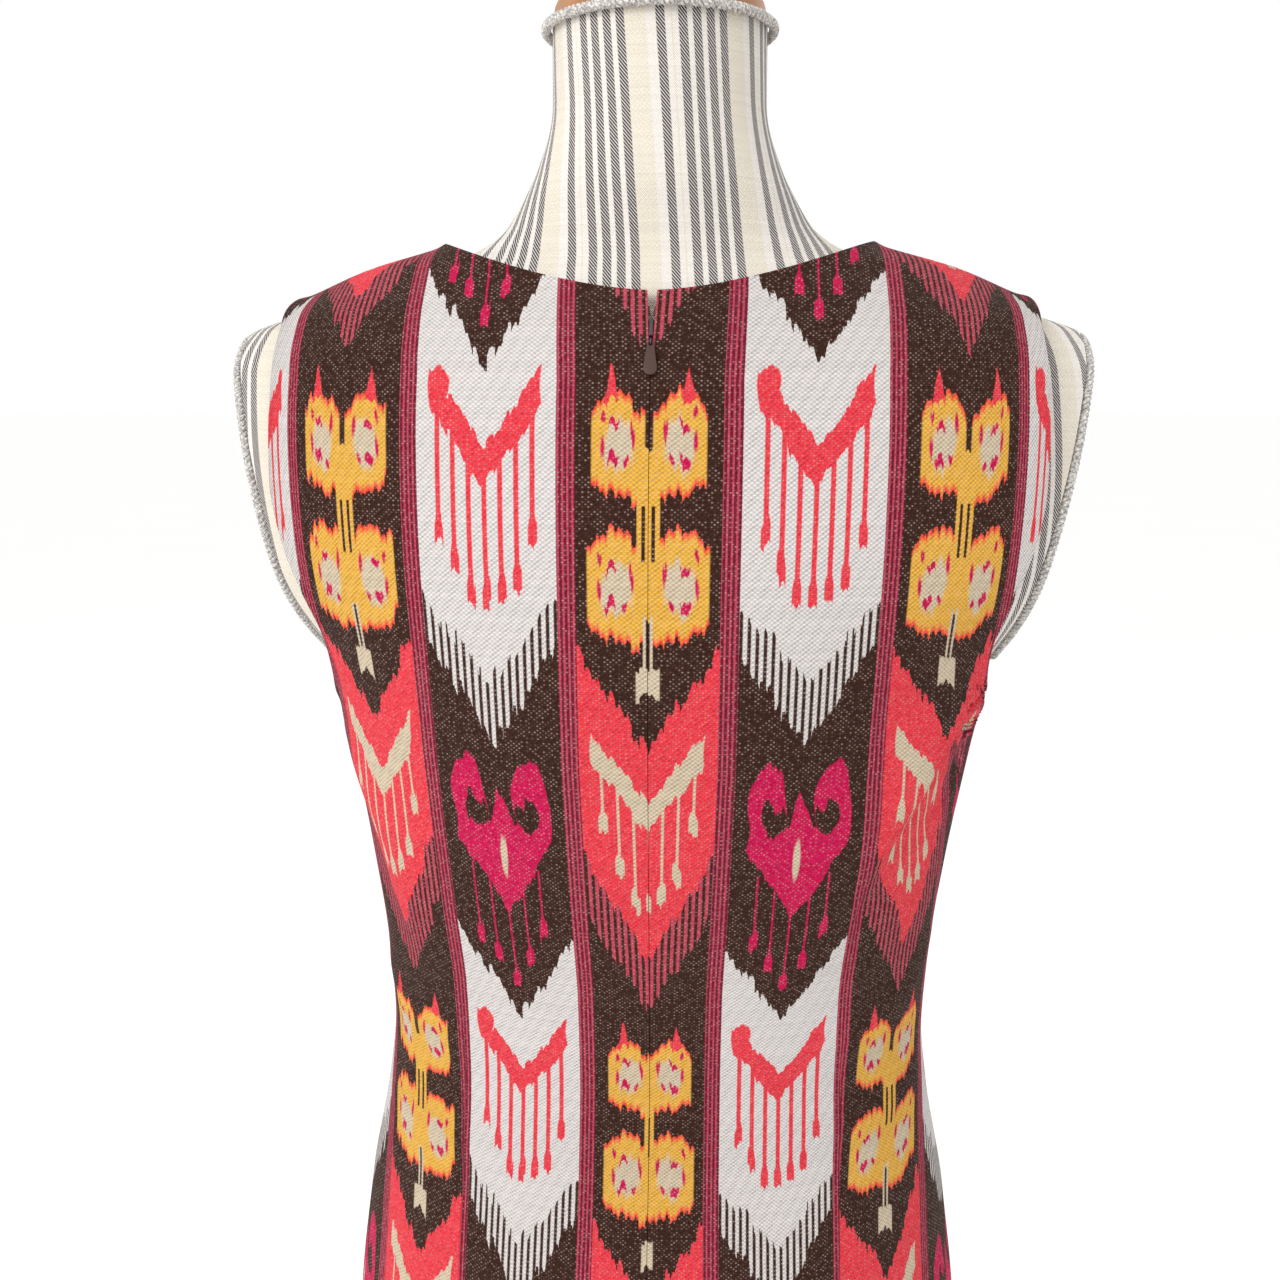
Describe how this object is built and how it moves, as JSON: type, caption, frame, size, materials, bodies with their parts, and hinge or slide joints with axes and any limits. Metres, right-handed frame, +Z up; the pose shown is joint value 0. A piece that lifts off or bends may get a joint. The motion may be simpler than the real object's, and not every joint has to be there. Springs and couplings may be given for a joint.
{
  "type": "sheath dress on dress form",
  "caption": "Sleeveless knee-length sheath dress with a centre-back zip, worn on a limbless striped-linen dress form on a turned stand.",
  "frame": {"origin": "centre of the base's underside", "axes": "+Z up, -Y towards the dress's front, +X towards the wearer's left"},
  "size_m": [0.4148, 0.38, 1.5173],
  "materials": {
    "dress_cloth": "matt slubby plain weave with a warp ikat in coral, brown, pale grey, yellow and maroon",
    "zip_tape": "matt dark brown woven tape",
    "zip_metal": "dark worn metal",
    "zip_pull": "matt brown paint",
    "form_linen": "cream linen twill with taupe ticking stripes",
    "form_cord": "twisted white and grey cord",
    "stand_wood": "satin varnish",
    "stand_metal": "satin"
  },
  "bodies": {
    "root": {"front": "dress_cloth", "back_left": "dress_cloth", "back_right": "dress_cloth", "zip_tape": "zip_tape", "zip_slider": "zip_metal", "form_torso": "form_linen", "arm_plate_left": "form_linen", "arm_plate_right": "form_linen", "arm_cord_left": "form_cord", "arm_cord_right": "form_cord", "neck_cord": "form_cord", "neck_cap": "stand_wood", "form_flange": "stand_metal", "pole": "stand_metal", "base": "stand_wood"},
    "pull": {"zip_pull": "zip_pull"}
  },
  "joints": [
    {"name": "zip_pull_swing", "type": "hinge", "parent": "root", "child": "pull", "pos_m": [0, 0.08762, 1.34912], "axis": [1, 0, 0], "range_deg": [0, 150]}
  ]
}
